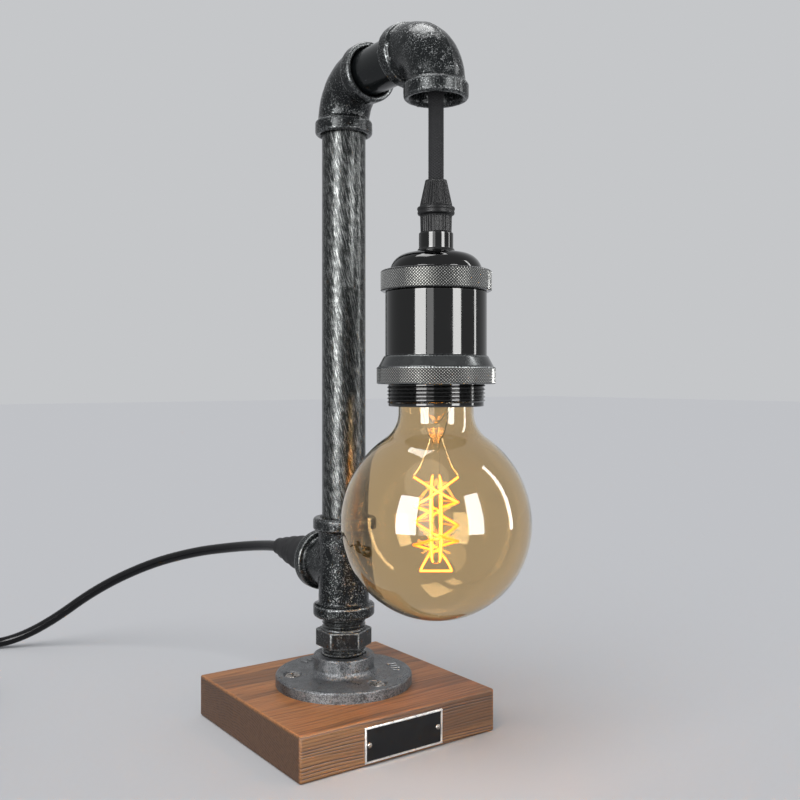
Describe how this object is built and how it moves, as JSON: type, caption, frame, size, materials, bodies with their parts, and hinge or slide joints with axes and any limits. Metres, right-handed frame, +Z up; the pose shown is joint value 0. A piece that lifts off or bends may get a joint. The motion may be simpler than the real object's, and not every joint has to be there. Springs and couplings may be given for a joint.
{
  "type": "industrial pipe table lamp",
  "caption": "Table lamp of threaded iron pipe on a square wooden base, with a pendant socket and amber globe bulb on a short arm, and an in-line switch and plug.",
  "frame": {"origin": "centre of the wooden base's underside, on the table", "axes": "+Z up along the column, +Y from the column away from the arm and out of the tee's side mouth, +X to the right for someone who faces the nameplate"},
  "size_m": [0.2984, 0.3531, 0.3263],
  "materials": {
    "base_wood": "stained softwood, satin",
    "plate_black": "satin black with a bright border",
    "bright_steel": "bright plated",
    "fitting_iron": "blackened and dry-brushed",
    "pipe_steel": "blackened with bright streaks",
    "black_rubber": "matte",
    "black_pvc": "glossy",
    "black_plastic": "satin",
    "braid": "woven textile",
    "black_nickel": "polished black nickel",
    "contact_brass": "plain",
    "ceramic": "glazed",
    "wire_insulation": "plain",
    "solder": "dull",
    "amber_glass": "clear amber",
    "cap_metal": "satin",
    "black_glass": "opaque",
    "stem_glass": "clear",
    "filament_glow": "glowing"
  },
  "bodies": {
    "stand": {"wooden_base": "base_wood", "nameplate": "plate_black", "nameplate_pins": "bright_steel", "floor_flange": "fitting_iron", "flange_screws": "bright_steel", "hex_nipple": "fitting_iron", "pipe_tee": "fitting_iron", "column_pipe": "pipe_steel", "cord_boot": "black_rubber", "inner_mains_cord": "black_pvc", "wire_splices": "black_pvc", "riser_cable": "braid", "mains_cord_lamp_end": "black_pvc", "switch_housing_bottom": "black_plastic", "switch_housing_top": "black_plastic", "switch_screws": "bright_steel", "switch_contacts": "contact_brass", "mains_cord_middle": "black_pvc", "cord_coil": "black_pvc", "mains_cord_plug_end": "black_pvc", "plug_body": "black_plastic", "plug_pins": "bright_steel"},
    "arm": {"column_elbow": "fitting_iron", "arm_nipple": "pipe_steel", "drop_elbow": "fitting_iron", "cord_retainer": "black_rubber", "arm_cable": "braid"},
    "cord_flex": {"cord_flex_point": "braid"},
    "pendant": {"drop_cord": "braid", "cord_grip": "black_plastic", "grip_collar": "black_nickel", "socket_cap": "black_nickel", "cap_ring": "black_nickel", "socket_shell": "black_nickel", "threaded_sleeve": "black_nickel", "ceramic_insert": "ceramic", "screw_shell": "contact_brass", "centre_contact": "contact_brass", "terminal_screws": "contact_brass", "core_wires": "wire_insulation"},
    "shade_ring": {"shade_ring": "black_nickel"},
    "bulb_travel": {"tip_contact": "solder"},
    "bulb": {"bulb_glass": "amber_glass", "bulb_cap": "cap_metal", "cap_insulator": "black_glass", "glass_stem": "stem_glass", "lead_wires": "solder", "support_wires": "solder", "filament": "filament_glow"},
    "rocker": {"switch_rocker": "black_plastic"}
  },
  "joints": [
    {"name": "arm_swing", "type": "hinge", "parent": "stand", "child": "arm", "pos_m": [0, 0, 0.2869], "axis": [0, 0, 1], "range_deg": [-45, 45]},
    {"name": "pendant_swing_out", "type": "hinge", "parent": "arm", "child": "cord_flex", "pos_m": [0, -0.074, 0.2899], "axis": [1, 0, 0], "range_deg": [-30, 5]},
    {"name": "pendant_swing_side", "type": "hinge", "parent": "cord_flex", "child": "pendant", "pos_m": [0, -0.074, 0.2899], "axis": [0, 1, 0], "range_deg": [-30, 30]},
    {"name": "shade_ring_slide", "type": "slide", "parent": "pendant", "child": "shade_ring", "axis": [0, 0, -1], "range_m": [0, 0.0083]},
    {"name": "bulb_screw_travel", "type": "slide", "parent": "pendant", "child": "bulb_travel", "axis": [0, 0, -1], "range_m": [0, 0.0128]},
    {"name": "bulb_turn", "type": "hinge", "parent": "bulb_travel", "child": "bulb", "pos_m": [0, -0.074, 0.1887], "axis": [0, 0, -1], "range_deg": [0, 1260]},
    {"name": "switch_rock", "type": "hinge", "parent": "stand", "child": "rocker", "pos_m": [-0.16, 0.15, 0.0134], "axis": [1, 0, 0], "range_deg": [0, 16]}
  ],
  "couplings": [
    {"joint": "bulb_screw_travel", "follows": "bulb_turn", "m_per_rad": 0.00057773}
  ]
}
